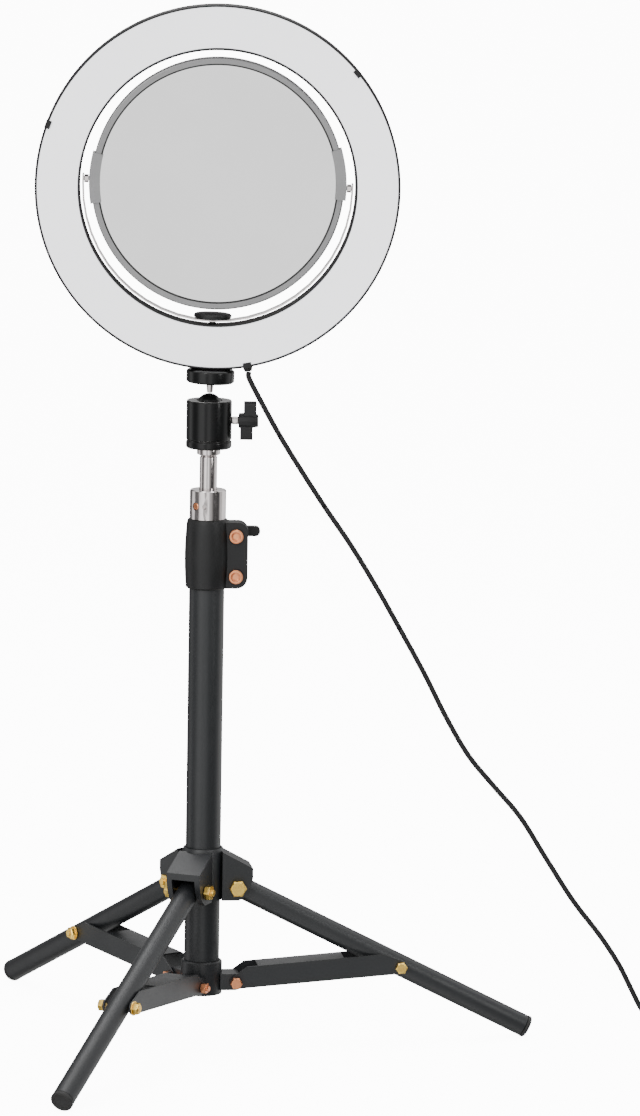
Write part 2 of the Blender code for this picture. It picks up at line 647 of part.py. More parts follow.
def make_yoke(head):
    """A strip bent to a half circle, held by a thumbscrew in the ring's inner rim."""
    swivel = empty("yoke_swivel", head, (0, 0, MIRROR_RISE))
    lift = MIRROR_RISE - RING_RISE
    inner = YOKE_RADIUS - YOKE_THICKNESS / 2
    outer = YOKE_RADIUS + YOKE_THICKNESS / 2
    tall = 3.5 * MM  # the strip's ends rise past the mirror's pivots
    down = -lift
    outline = [(-outer, tall)] + arc(0, down, outer, 180, 360, 24) + [(outer, tall), (inner, tall)]
    outline += arc(0, down, inner, 360, 180, 24) + [(-inner, tall)]
    strip = piece("yoke_strip", prism(outline, -YOKE_HALF_WIDTH, YOKE_HALF_WIDTH), CHROME, swivel)
    cut(strip, rod(2.9 * MM, down - outer - 2 * MM, down - inner + 2 * MM))
    cut(strip, moved(rod(1.9 * MM, -110 * MM, 110 * MM), turn(90, "Y")))
    under = down - inner + 1.3 * MM
    rows = [
        (2.4 * MM, down - RING_INNER - 1.0 * MM),
        (2.4 * MM, under),
        (12.6 * MM, under),
        (13.5 * MM, under + 0.9 * MM),
        (13.5 * MM, under + 2.6 * MM),
        (12.4 * MM, under + 3.4 * MM),
        (7 * MM, under + 4 * MM),
    ]
    piece("yoke_thumbscrew", turned(rows, 24), BLACK_PLASTIC, swivel)
    return swivel


def make_mirror(swivel):
    """A two-sided mirror: a frame with a web between two glasses, and a pad at each pivot."""
    depth = MIRROR_HALF_DEPTH
    radius = MIRROR_RADIUS
    step = GLASS_RADIUS + GAP
    rows = [
        (radius - 0.8 * MM, depth),
        (radius, depth - 0.8 * MM),
        (radius, -depth + 0.8 * MM),
        (radius - 0.8 * MM, -depth),
        (step, -depth),
        (step, -depth + 3 * MM),
        (step - 6 * MM, -depth + 3 * MM),
        (step - 6 * MM, depth - 3 * MM),
        (step, depth - 3 * MM),
        (step, depth),
    ]
    frame = piece("mirror_frame", lathe_y(rows), GREY_METAL, swivel)
    for side in (0, 180):
        cut(frame, moved(rod(2 * MM, radius - 4 * MM, radius + 4 * MM), turn(90 - side, "Y")))
    for name, y in (("mirror_front_glass", -depth + 1.2 * MM), ("mirror_rear_glass", depth - 2.7 * MM)):
        plate = moved(rod(GLASS_RADIUS, 0, 1.5 * MM, RING_SIDES), turn(-90, "X"))
        piece(name, plate, MIRROR_GLASS, swivel, (0, y, 0))
    for name, way in (("mirror_left", -1), ("mirror_right", 1)):
        make_pad(name, way, swivel)


def make_pad(name, way, swivel):
    """A curved pad over the frame's rim, tall above the pivot, with the screw that holds the yoke."""
    depth = MIRROR_HALF_DEPTH
    start, end = (-11, 12.2) if way < 0 else (-5.2, 18.2)  # degrees about the mirror's centre
    outline = arc(0, 0, 91.6 * MM, start, end, 8) + arc(0, 0, 83.8 * MM, end, start, 8)
    if way < 0:
        outline = [(-x, z) for x, z in outline]
    pad = piece(name + "_pad", prism(outline, -depth - 1.5 * MM, depth + 1.5 * MM), GREY_METAL, swivel)
    cut(pad, lathe_y([
        (MIRROR_RADIUS + GAP, depth + GAP),
        (MIRROR_RADIUS + GAP, -depth - GAP),
        (70 * MM, -depth - GAP),
        (70 * MM, depth + GAP),
    ]))
    cut(pad, moved(rod(2 * MM, 80 * MM, 100 * MM), turn(90 * way, "Y")))
    rows = [(1.6 * MM, 87.5 * MM), (1.6 * MM, YOKE_RADIUS + 0.6 * MM)]
    collar = [(3 * MM, 91.9 * MM), (3 * MM, 94.9 * MM)]
    screw = piece(name + "_pivot", turned(rows, BOLT_SIDES), CHROME, swivel, rotation=(0, way * math.pi / 2, 0))
    fuse(screw, turned(collar, BOLT_SIDES))


def make_cord():
    """The lead hangs from the gland to the floor in one easy sweep, and ends in the controller."""
    gland_angle = CLIP_ANGLES[2]
    out = Vector((math.cos(gland_angle), 0, math.sin(gland_angle)))
    ends = []
    for reach in (4 * MM + 2 * GAP, 10 * MM):
        place = Vector((0, 0, RING_RISE)) + out * (RING_RADIUS + reach)
        place.rotate(Matrix.Rotation(HEAD_ROLL, 3, "Y"))
        ends.append((place.x / MM, place.z / MM + BALL_Z / MM))
    route = ends + [
        (38, 467),
        (51, 444),
        (65.5, 421),
        (84, 393),
        (102.5, 366.5),
        (121, 337),
        (139.5, 305),
        (157.5, 273),
        (174, 241),
        (190.5, 213.5),
        (209, 191.5),
        (229, 168.5),
        (248.5, 138),
        (268.5, 107.5),
        (288.5, 82),
        (302, 62),
        (311, 45),
        (319, 29.5),
        (328.5, 16.5),
        (341, 8),
        (355, 4.2),
        (CONTROLLER_X / MM - 8 - 0.6, CORD_INLET_Z / MM),
    ]
    points = smooth([Vector((x * MM, 0, z * MM)) for x, z in route], 2)
    cord_tube("cord_lead", points)


def smooth(points, steps):
    """Points on a smooth curve through the given ones."""
    ends = [2 * points[0] - points[1]] + points + [2 * points[-1] - points[-2]]
    found = [points[0]]
    for before, low, high, after in zip(ends, ends[1:], ends[2:], ends[3:]):
        for step in range(1, steps + 1):
            t = step / steps
            lean_low = (high - before) / 2
            lean_high = (after - low) / 2
            place = (2 * t**3 - 3 * t**2 + 1) * low + (t**3 - 2 * t**2 + t) * lean_low
            place += (3 * t**2 - 2 * t**3) * high + (t**3 - t**2) * lean_high
            found.append(place)
    return found


def cord_tube(name, points):
    curve = bpy.data.curves.new(name, "CURVE")
    curve.dimensions = "3D"
    curve.bevel_depth = CORD_RADIUS
    curve.bevel_resolution = 2
    curve.use_fill_caps = True
    spline = curve.splines.new("POLY")
    spline.points.add(len(points) - 1)
    for point, place in zip(spline.points, points):
        point.co = (*place, 1)
    curve.materials.append(CORD_BLACK)
    cord = bpy.data.objects.new(name, curve)
    bpy.context.collection.objects.link(cord)
    cord.parent = column


def make_controller():
    """An inline box with three buttons, lying on the floor, with a moulded nub at each end."""
    half = CONTROLLER_WIDTH / 2
    end = CONTROLLER_X + CONTROLLER_LENGTH
    outline = rounded((CONTROLLER_X, -half), (end, half), 4 * MM)
    case = piece("controller_case", prism(outline, 0, CONTROLLER_HEIGHT, "Z"), BLACK_PLASTIC, column)
    rows = [(2.7 * MM, CONTROLLER_X - 8 * MM), (3.6 * MM, CONTROLLER_X), (3.6 * MM, end), (2.7 * MM, end + 8 * MM)]
    fuse(case, moved(turned(rows, BOLT_SIDES), turn(90, "Y"), (0, 0, CORD_INLET_Z)))
    for index, name in enumerate(("button_dim", "button_power", "button_bright")):
        x = CONTROLLER_X + CONTROLLER_LENGTH * (index + 1) / 4
        well = rod(4.3 * MM, CONTROLLER_HEIGHT - 3 * MM, CONTROLLER_HEIGHT + MM, SMALL_SIDES)
        cut(case, moved(well, offset=(x, 0, 0)))
        rows = [
            (4 * MM, CONTROLLER_HEIGHT - 1.6 * MM),
            (4 * MM, CONTROLLER_HEIGHT + 0.8 * MM),
            (3.2 * MM, CONTROLLER_HEIGHT + 1.3 * MM),
        ]
        piece(name, turned(rows, SMALL_SIDES), RUBBER, column, (x, 0, 0))
    middle = (end + 8 * MM + 20.6 * MM, -COIL_EDGE, 0)
    rows = []
    for degrees in range(22, 382, 45):
        angle = math.radians(degrees + 0.5)
        across = COIL_HALF_WIDTH / math.cos(math.pi / 8) * math.cos(angle)
        rows.append((COIL_RADIUS + across, GAP + COIL_HEIGHT / 2 * (1 + math.sin(angle))))
    piece("cord_coil", turned(rows, ROUND_SIDES, closed=True), CORD_BLACK, column, middle)
    make_plug(middle)


def make_plug(middle):
    """A flat USB plug that lies beside the coil, in line with the turn that it leaves from."""
    x = middle[0] - 20.6 * MM
    y = middle[1] - COIL_EDGE + 0.4 * MM
    low, high = 1 * MM, 9 * MM
    body = rounded((x - 22 * MM, y - 7 * MM), (x - 5 * MM, y + 7 * MM), 2 * MM, 3)
    plug = piece("usb_plug", prism(body, low, high, "Z"), BLACK_PLASTIC, column)
    shell = block((x - 34 * MM, y - 6 * MM, low + 1.8 * MM), (x - 20 * MM, y + 6 * MM, high - 1.7 * MM))
    fuse(plug, shell)
    rows = [(2.6 * MM, x), (3.4 * MM, x - 7 * MM)]
    fuse(plug, moved(turned(rows, BOLT_SIDES), turn(90, "Y"), (0, y, 5 * MM)))
    foot = block((x - 20 * MM, y - 5 * MM, 0), (x - 7 * MM, y + 5 * MM, 2 * MM))
    fuse(plug, foot)


make_column()
make_clamp()
make_spider()
make_bracket()
pan = make_spigot()
make_ball_head(pan)
head = make_ball(pan)
make_ring(head)
make_mirror(make_yoke(head))
make_cord()
make_controller()
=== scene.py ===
import json
import math

import bmesh
import bpy
from mathutils import Matrix, Vector


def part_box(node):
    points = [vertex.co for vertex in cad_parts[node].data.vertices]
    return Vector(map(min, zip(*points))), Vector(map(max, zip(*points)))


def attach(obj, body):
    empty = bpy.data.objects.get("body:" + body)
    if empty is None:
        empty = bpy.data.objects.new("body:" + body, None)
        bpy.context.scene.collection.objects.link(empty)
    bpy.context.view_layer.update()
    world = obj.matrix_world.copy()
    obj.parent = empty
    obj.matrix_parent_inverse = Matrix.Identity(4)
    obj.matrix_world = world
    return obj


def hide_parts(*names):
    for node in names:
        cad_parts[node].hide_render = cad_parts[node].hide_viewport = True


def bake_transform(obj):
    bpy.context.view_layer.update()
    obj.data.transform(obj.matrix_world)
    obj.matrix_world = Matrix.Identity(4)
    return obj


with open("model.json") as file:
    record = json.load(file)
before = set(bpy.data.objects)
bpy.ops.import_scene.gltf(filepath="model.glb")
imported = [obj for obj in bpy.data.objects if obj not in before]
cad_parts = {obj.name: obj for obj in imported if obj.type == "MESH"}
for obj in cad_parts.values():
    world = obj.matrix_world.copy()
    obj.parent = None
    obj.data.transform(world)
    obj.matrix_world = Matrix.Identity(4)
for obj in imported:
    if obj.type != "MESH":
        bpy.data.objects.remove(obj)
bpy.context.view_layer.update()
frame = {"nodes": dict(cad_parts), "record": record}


# ---- Studio and camera -------------------------------------------------------
# A long lens a little above the lamp looks slightly down on it, over a plain
# pale floor that runs out of sight behind it.

column_low, column_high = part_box("column_tube")
COLUMN_X = (column_low[0] + column_high[0]) / 2
COLUMN_Y = (column_low[1] + column_high[1]) / 2

CAMERA_LENS = 204.7
CAMERA_DISTANCE = 4.5
CAMERA_HEIGHT = 1.0622
LOOK_DOWN = 0.1556
LOOK_RIGHT = 0.018
CAMERA_LEAN = 0.0167

camera = bpy.data.objects.new("camera", bpy.data.cameras.new("camera"))
camera.data.lens = CAMERA_LENS
camera.data.sensor_width = 36
camera.data.clip_end = 100
camera_turn = Matrix.Rotation(-LOOK_RIGHT, 4, "Z") @ Matrix.Rotation(math.pi / 2 - LOOK_DOWN, 4, "X")
camera_turn = camera_turn @ Matrix.Rotation(CAMERA_LEAN, 4, "Z")
camera_place = Matrix.Translation((COLUMN_X, COLUMN_Y - CAMERA_DISTANCE, CAMERA_HEIGHT))
camera.matrix_world = camera_place @ camera_turn
bpy.context.collection.objects.link(camera)
bpy.context.scene.camera = camera


def softbox(name, place, aim, width, height, power):
    """A rectangular area light that faces a point."""
    lamp = bpy.data.lights.new(name, "AREA")
    lamp.shape = "RECTANGLE"
    lamp.size = width
    lamp.size_y = height
    lamp.energy = power
    holder = bpy.data.objects.new(name, lamp)
    holder.location = place
    holder.rotation_euler = (Vector(aim) - Vector(place)).to_track_quat("-Z", "Y").to_euler()
    bpy.context.collection.objects.link(holder)


softbox("key_light", (-1.1, -2.2, 1.9), (0, 0, 0.35), 0.5, 1.6, 26)
softbox("fill_light", (1.9, -1.6, 1.2), (0, 0, 0.35), 0.4, 1.8, 22)
softbox("top_light", (0, 0.6, 2.6), (0, 0, 0.2), 1.8, 1.8, 50)


# ---- Lead --------------------------------------------------------------------
# A limp two-core lead of about 1.8 m in a black PVC sheath, 4 mm thick. It hangs
# from the gland at the ring's foot to the floor and ends in the inline controller.

MM = 0.001
HEAD_ROLL = math.radians(1.4)
BALL_Z = sum(corner[2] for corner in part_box("ball")) / 2
RING_RISE = 157.4
RING_RADIUS = 130.0
GLAND_ANGLE = math.radians(281.6)
CORD_RADIUS = 2 * MM
CONTROLLER_NEAR = 380.0
STRAIN_RELIEF = 8.0
LEAD_CLEARANCE = 0.6


def from_column(x, y, z):
    """A point given in millimetres from the column's axis and the floor."""
    return Vector((COLUMN_X + x * MM, COLUMN_Y + y * MM, z * MM))


def smooth_path(points, steps):
    """Points on a smooth curve through the given ones."""
    ends = [2 * points[0] - points[1]] + points + [2 * points[-1] - points[-2]]
    found = [points[0].copy()]
    for before, low, high, after in zip(ends, ends[1:], ends[2:], ends[3:]):
        for step in range(1, steps + 1):
            t = step / steps
            place = (2 * t**3 - 3 * t**2 + 1) * low + (t**3 - 2 * t**2 + t) * (high - before) / 2
            place += (3 * t**2 - 2 * t**3) * high + (t**3 - t**2) * (after - low) / 2
            found.append(place)
    return found


def path_length(points):
    return sum((b - a).length for a, b in zip(points, points[1:]))


def link(name, mesh):
    piece = bpy.data.objects.new(name, mesh)
    bpy.context.collection.objects.link(piece)
    return piece


def cord_mesh(name, points, radius, sides=14):
    """A tube round a path, with its own UV map: U round the cord and V along it in metres."""
    shape = bmesh.new()
    layer = shape.loops.layers.uv.new("along")
    side = Vector((0, 1, 0))
    loops = []
    run = [0.0]
    for a, b in zip(points, points[1:]):
        run.append(run[-1] + (b - a).length)
    for index, point in enumerate(points):
        ahead = points[min(index + 1, len(points) - 1)] - points[max(index - 1, 0)]
        ahead.normalize()
        side = (side - ahead * side.dot(ahead)).normalized()
        up = ahead.cross(side)
        ring = []
        for k in range(sides):
            angle = 2 * math.pi * k / sides
            ring.append(shape.verts.new(point + radius * (math.cos(angle) * side + math.sin(angle) * up)))
        loops.append(ring)
    for row, (near, far) in enumerate(zip(loops, loops[1:])):
        for k in range(sides):
            face = shape.faces.new((near[k], near[(k + 1) % sides], far[(k + 1) % sides], far[k]))
            face.smooth = True
            corners = ((k, row), (k + 1, row), (k + 1, row + 1), (k, row + 1))
            for loop, (u, v) in zip(face.loops, corners):
                loop[layer].uv = (u / sides, run[v])
    shape.faces.new(loops[0][::-1])
    shape.faces.new(loops[-1])
    bmesh.ops.recalc_face_normals(shape, faces=shape.faces)
    mesh = bpy.data.meshes.new(name)
    shape.to_mesh(mesh)
    shape.free()
    return link(name, mesh)


class Sock:
    """A shader socket that Python arithmetic can be done with."""

    def __init__(self, tree, socket):
        self.tree = tree
        self.socket = socket

    def node(self, kind, settings=None, out=0, **inputs):
        made = self.tree.nodes.new("ShaderNode" + kind)
        for key, value in (settings or {}).items():
            if key == "stops":
                ramp = made.color_ramp
                while len(ramp.elements) < len(value):
                    ramp.elements.new(1)
                for element, (place, shade) in zip(ramp.elements, value):
                    element.position = place
                    element.color = (shade, shade, shade, 1) if isinstance(shade, float) else (*shade, 1)
            else:
                setattr(made, key, value)
        for key, value in inputs.items():
            place = int(key[1:]) if key[0] == "i" and key[1:].isdigit() else key.replace("_", " ")
            if isinstance(value, Sock):
                self.tree.links.new(value.socket, made.inputs[place])
            elif value is not None:
                made.inputs[place].default_value = value
        return Sock(self.tree, made.outputs[out])

    def math(self, operation, a, b=None, clamp=False):
        return self.node("Math", {"operation": operation, "use_clamp": clamp}, i0=a, i1=b)

    def __add__(self, other):
        return self.math("ADD", self, other)

    __radd__ = __add__

    def __mul__(self, other):
        return self.math("MULTIPLY", self, other)

    __rmul__ = __mul__

    def __sub__(self, other):
        return self.math("SUBTRACT", self, other)

    def __rsub__(self, other):
        return self.math("SUBTRACT", other, self)

    def mix(self, low, high):
        """The colour low where this is 0 and high where it is 1."""
        settings = {"data_type": "RGBA"}
        return self.node("Mix", settings, out=2, i0=self, i6=(*low, 1), i7=(*high, 1))


def finish(name, roughness, metallic=0.0, colour=(0.5, 0.5, 0.5), **constants):
    """A new material: (its material, its shader, a Sock on Object coordinates)."""
    material = bpy.data.materials.new(name)
    material.use_nodes = True
    tree = material.node_tree
    shader = tree.nodes["Principled BSDF"]
    shader.inputs["Base Color"].default_value = (*colour, 1)
    shader.inputs["Roughness"].default_value = roughness
    shader.inputs["Metallic"].default_value = metallic
    for key, value in constants.items():
        shader.inputs[key.replace("_", " ")].default_value = value
    coordinates = tree.nodes.new("ShaderNodeTexCoord")
    return material, shader, Sock(tree, coordinates.outputs["Object"])


def feed(shader, socket_name, value):
    value.tree.links.new(value.socket, shader.inputs[socket_name])


def bump(shader, height, distance, strength=1.0):
    """Lets a height in 0 to 1 stand up by distance metres."""
    raised = height.node("Bump", out=0, Strength=strength, Distance=distance, Height=height)
    feed(shader, "Normal", raised)


def grain(at, scale, detail=3.0, roughness=0.55):
    return at.node("TexNoise", out=0, Vector=at, Scale=scale, Detail=detail, Roughness=roughness)


sheath, shader, at = finish("cord_sheath", 0.42, Specular_IOR_Level=0.25)
blotch = grain(at, 90)
feed(shader, "Base Color", blotch.mix((0.004, 0.004, 0.0045), (0.009, 0.009, 0.010)))
feed(shader, "Roughness", 0.32 + 0.18 * grain(at, 35))
bump(shader, grain(at, 1400, 2.0), 0.00004)


def from_ball(x, z):
    """A point in the head's plane, in millimetres from the ball's centre, turned with the head."""
    place = Vector((x, 0, z))
    place.rotate(Matrix.Rotation(HEAD_ROLL, 3, "Y"))
    return Vector((COLUMN_X, COLUMN_Y, BALL_Z)) + place * MM


gland_out = Vector((math.cos(GLAND_ANGLE), math.sin(GLAND_ANGLE)))
lead_route = [
    from_ball(*(gland_out * (RING_RADIUS + reach) + Vector((0, RING_RISE)))) for reach in (4.6, 10)
]
lead_route += [
    from_column(x, 0, z)
    for x, z in (
        (38, 467),
        (51, 444),
        (65.5, 421),
        (84, 393),
        (102.5, 366.5),
        (121, 337),
        (139.5, 305),
        (157.5, 273),
        (174, 241),
        (190.5, 213.5),
        (209, 191.5),
        (229, 168.5),
        (248.5, 138),
        (268.5, 107.5),
        (288.5, 82),
        (302, 62),
        (311, 45),
        (319, 29.5),
        (328.5, 16.5),
        (341, 8),
        (355, 4.2),
        (CONTROLLER_NEAR - STRAIN_RELIEF - LEAD_CLEARANCE, 5.5),
    )
]
# One lead in four stretches, each running across one joint, between its two bodies. The
# first three cross the ball head's three turns and the last one the sliding column.
stretches = (
    ("lead_at_gland", 0, 3, "head", "ball"),
    ("lead_below_ring", 3, 5, "ball", "pan_base"),
    ("lead_beside_head", 5, 8, "pan_base", "inner_column"),
    ("lead", 8, len(lead_route) - 1, "inner_column", "root"),
)
STEPS = 8
lead_line = smooth_path(lead_route, STEPS)
for name, first, last, upper, lower in stretches:
    line = lead_line[first * STEPS:last * STEPS + 1]
    piece = cord_mesh(name, line, CORD_RADIUS)
    piece.data.materials.append(sheath)
    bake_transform(piece)
    if name == "lead":
        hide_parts("cord_lead")
    path_length(line)


# ---- Coil --------------------------------------------------------------------
# The rest of the lead is wound into a neat coil on the floor, with the strands
# round a hollow core, and goes into the plug that lies beside it.

COIL_TURNS = 8.5
STRANDS = 9
COIL_MEAN = 22.0
CORE = 6.14
CORE_HEIGHT = 8.3
coil_low, coil_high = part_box("cord_coil")
coil_centre = ((coil_low + coil_high) / 2 - Vector((COLUMN_X, COLUMN_Y, 0))) / MM
outlet = (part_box("controller_case")[1][0] - COLUMN_X) / MM
plug_low, plug_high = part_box("usb_plug")
plug_x = (plug_high[0] - COLUMN_X) / MM
plug_y = ((plug_low[1] + plug_high[1]) / 2 - COLUMN_Y) / MM
coil_line = [from_column(outlet + out, 0, z) for out, z in ((0.4, 5.5), (5, 5.7), (11, 7.4))]
PER_TURN = 36
for step in range(int(COIL_TURNS * PER_TURN) + 1):
    turn = step / PER_TURN
    angle = math.pi / 2 - 2 * math.pi * turn
    round_core = 2 * math.pi * turn / STRANDS
    radius = COIL_MEAN + CORE * math.cos(round_core)
    coil_line.append(from_column(
        coil_centre.x + radius * math.cos(angle),
        coil_centre.y + radius * math.sin(angle),
        CORE_HEIGHT + CORE * math.sin(round_core),
    ))
coil_line.append(from_column(plug_x + 10, plug_y, 5.6))
coil_line.append(from_column(plug_x + 5, plug_y, 5.1))
coil_line.append(from_column(plug_x + 0.4, plug_y, 5))
coil_line = smooth_path(coil_line, 2)
coil = cord_mesh("lead_coil", coil_line, CORD_RADIUS, 10)
coil.data.materials.append(sheath)
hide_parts("cord_coil")
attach(coil, "root")
path_length(coil_line)


# ---- Floor and surroundings ----------------------------------------------------
# A seamless white sweep, lit evenly, in a dark room whose tall light cards give the
# chrome its dark and light bands.

sweep = bmesh.new()
bmesh.ops.create_grid(sweep, x_segments=1, y_segments=1, size=40)
sweep_mesh = bpy.data.meshes.new("floor")
sweep.to_mesh(sweep_mesh)
sweep.free()
floor = link("floor", sweep_mesh)
paper, shader, at = finish(
    "white_sweep", 0.9, colour=(0.93, 0.93, 0.93), Specular_IOR_Level=0.1, Emission_Strength=11.0
)
feed(shader, "Base Color", grain(at, 3).mix((0.92, 0.92, 0.92), (0.94, 0.94, 0.94)))
shader.inputs["Emission Color"].default_value = (1, 1, 1, 1)
floor.data.materials.append(paper)
floor.visible_glossy = False
floor.visible_diffuse = False

# A dark room with tall light cards round the lamp: (degrees round from the front, brightness).
CARDS = (
    (-180, 0.5),
    (-150, 0.10),
    (-122, 0.10),
    (-112, 0.9),
    (-98, 0.9),
    (-88, 0.12),
    (-62, 0.14),
    (-50, 1.3),
    (-26, 1.5),
    (-18, 0.25),
    (-9, 0.7),
    (-7, 1.25),
    (7, 1.25),
    (10, 0.5),
    (24, 0.35),
    (36, 0.05),
    (74, 0.05),
    (88, 0.6),
    (112, 1.0),
    (140, 0.9),
    (160, 0.12),
    (180, 0.5),
)
world = bpy.data.worlds.new("studio")
world.use_nodes = True
tree = world.node_tree
toward = Sock(tree, tree.nodes.new("ShaderNodeTexCoord").outputs["Generated"])
split = toward.node("SeparateXYZ", i0=toward)
across = Sock(tree, split.socket.node.outputs["X"])
along = Sock(tree, split.socket.node.outputs["Y"])
up = Sock(tree, split.socket.node.outputs["Z"])
round_the_lamp = across.math("ARCTAN2", across, -1 * along) * (0.5 / math.pi) + 0.5
stops = [((degrees + 180) / 360, value / 1.5) for degrees, value in CARDS]
cards = toward.node("ValToRGB", {"stops": stops}, i0=round_the_lamp)
overhead = toward.node("ValToRGB", {"stops": [(0.55, 0.0), (0.8, 1.0)]}, i0=up)
light = overhead.node("Mix", {"data_type": "RGBA"}, out=2, i0=overhead, i6=cards, i7=(0.55, 0.55, 0.55, 1))
background = tree.nodes["Background"]
tree.links.new(light.socket, background.inputs["Color"])
background.inputs["Strength"].default_value = 2.6
bpy.context.scene.world = world


# ---- Column --------------------------------------------------------------------
# Two drawn steel tubes, one inside the other, in satin black powder coat. The
# outer one has a moulded plug in its foot, the inner one a plastic bush.


def surface_of(name, mesh, material, body, slot, *nodes):
    """Makes a mesh a finished piece: it rides on a body and stands for CAD nodes."""
    piece = link(name, mesh)
    piece.data.materials.clear()
    piece.data.materials.append(material)
    if nodes:
        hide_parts(*nodes)
    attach(piece, body)
    return piece


def body_of(node):
    """The body that a CAD node belongs to."""
    return next(body for body, nodes in frame["record"]["behaviour"]["bodies"].items() if node in nodes)


def eased(node, name, material, slot, edge=0.25 * MM, angle=28, steps=2):
    """A CAD node's shape again, with its seams merged, its flats joined and its edges rounded off."""
    shape = bmesh.new()
    shape.from_mesh(frame["nodes"][node].data)
    bmesh.ops.remove_doubles(shape, verts=shape.verts, dist=0.002 * MM)
    bmesh.ops.dissolve_limit(
        shape, angle_limit=math.radians(1), verts=shape.verts, edges=shape.edges
    )
    for face in shape.faces:
        face.smooth = True
    limit = math.radians(angle)
    for seam in shape.edges:
        seam.smooth = seam.is_manifold and seam.calc_face_angle(0) < limit
    mesh = bpy.data.meshes.new(name)
    shape.to_mesh(mesh)
    shape.free()
    piece = surface_of(name, mesh, material, body_of(node), slot, node)
    if edge:
        soft = piece.modifiers.new("edges", "BEVEL")
        soft.width = edge
        soft.segments = steps
        soft.limit_method = "ANGLE"
        soft.angle_limit = limit
        soft.harden_normals = True
        soft.use_clamp_overlap = True
    return piece


coat, shader, at = finish("black_powder_coat", 0.4, 0.0, Specular_IOR_Level=0.42)
cloud = grain(at, 22, 4.0)
feed(shader, "Base Color", cloud.mix((0.007, 0.008, 0.009), (0.014, 0.015, 0.017)))
feed(shader, "Roughness", 0.36 + 0.14 * grain(at, 60))
bump(shader, grain(at, 1100, 3.0), 0.00005, 0.6)


def filleted(rows, radius, steps=3):
    """A closed outline with each corner rounded off."""
    found = []
    for before, corner, after in zip(rows[-1:] + rows[:-1], rows, rows[1:] + rows[:1]):
        corner = Vector(corner)
        to_before, to_after = Vector(before) - corner, Vector(after) - corner
        start = corner + to_before.normalized() * min(radius, 0.42 * to_before.length)
        end = corner + to_after.normalized() * min(radius, 0.42 * to_after.length)
        for step in range(steps + 1):
            t = step / steps
            found.append((1 - t) ** 2 * start + 2 * t * (1 - t) * corner + t**2 * end)
    return found


def lathe(rows, place, sides=96, fillet=0.4):
    """A ring or a disc turned from a closed outline of (radius, height) in millimetres."""
    shape = bmesh.new()
    outline = filleted(rows, fillet)
    hoops = []
    for k in range(sides):
        angle = 2 * math.pi * k / sides
        spoke = [Vector((r * math.cos(angle), r * math.sin(angle), h)) for r, h in outline]
        hoops.append([shape.verts.new(place @ (point * MM)) for point in spoke])
    count = len(outline)
    for k in range(sides):
        near, far = hoops[k], hoops[(k + 1) % sides]
        for j in range(count):
            shape.faces.new((near[j], far[j], far[(j + 1) % count], near[(j + 1) % count]))
    bmesh.ops.remove_doubles(shape, verts=shape.verts, dist=0.0005 * MM)
    bmesh.ops.recalc_face_normals(shape, faces=shape.faces)
    level = (place.to_3x3() @ Vector((0, 0, 1))).normalized()
    for face in shape.faces:
        face.normal_update()
        face.smooth = abs(face.normal.dot(level)) < 0.9999
    for seam in shape.edges:
        seam.smooth = seam.is_manifold and seam.calc_face_angle(0) < math.radians(40)
    mesh = bpy.data.meshes.new("lathe")
    shape.to_mesh(mesh)
    shape.free()
    return mesh


def turned(name, rows, place, material, slot, body, nodes=(), sides=96, fillet=0.4):
    mesh = lathe(rows, place, sides, fillet)
    mesh.name = name
    return surface_of(name, mesh, material, body, slot, *nodes)


on_column = Matrix.Translation((COLUMN_X, COLUMN_Y, 0))
OUTER_TUBE = 12.7
OUTER_WALL = 1.2
INNER_TUBE = 10.9
INNER_BORE = 9.9
foot, top = column_low[2] / MM, column_high[2] / MM
bore = OUTER_TUBE - OUTER_WALL
rows = [(OUTER_TUBE, foot), (OUTER_TUBE, top), (bore, top), (bore, foot)]
turned("column_outer_tube", rows, on_column, coat, "black_coat", "root", ["column_tube"])
foot, top = (corner[2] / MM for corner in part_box("inner_tube"))
rows = [(INNER_TUBE, foot), (INNER_TUBE, top), (INNER_BORE, top), (INNER_BORE, foot)]
turned("column_inner_tube", rows, on_column, coat, "black_coat", "inner_column", ["inner_tube"])


# ---- Legs ----------------------------------------------------------------------
# Three drawn tubes with a rolled-in rubber plug in each foot. The brace's screw
# at the middle of each carries a washer and a lock nut on its other end. The tubes
# are turned plain here, without the cross hole that each pivot bolt goes through.

LEG_AZIMUTHS = (6.5, 126.5, 246.5)
LEG_ANGLE = math.radians(63.3)
PIVOT_RADIUS = 24.0
LEG_LENGTH = 242.0
LEG_RADIUS = 8.0
LEG_WALL = 1.2
LEG_TO_BRACE = 135.0
NUT_SEAT = 11.2

rubber, shader, at = finish("black_rubber", 0.7, colour=(0.02, 0.02, 0.02))
feed(shader, "Base Color", grain(at, 70).mix((0.006, 0.006, 0.006), (0.013, 0.013, 0.013)))
feed(shader, "Roughness", 0.62 + 0.2 * grain(at, 120))
bump(shader, grain(at, 900, 3.0), 0.00008, 0.6)

yellow_zinc, shader, at = finish("yellow_zinc", 0.25, 1.0, (0.8, 0.66, 0.3))
feed(shader, "Base Color", grain(at, 260, 4.0).mix((0.92, 0.70, 0.16), (0.62, 0.33, 0.08)))
feed(shader, "Roughness", 0.18 + 0.2 * grain(at, 400))
bump(shader, grain(at, 900, 2.0), 0.00004, 0.5)

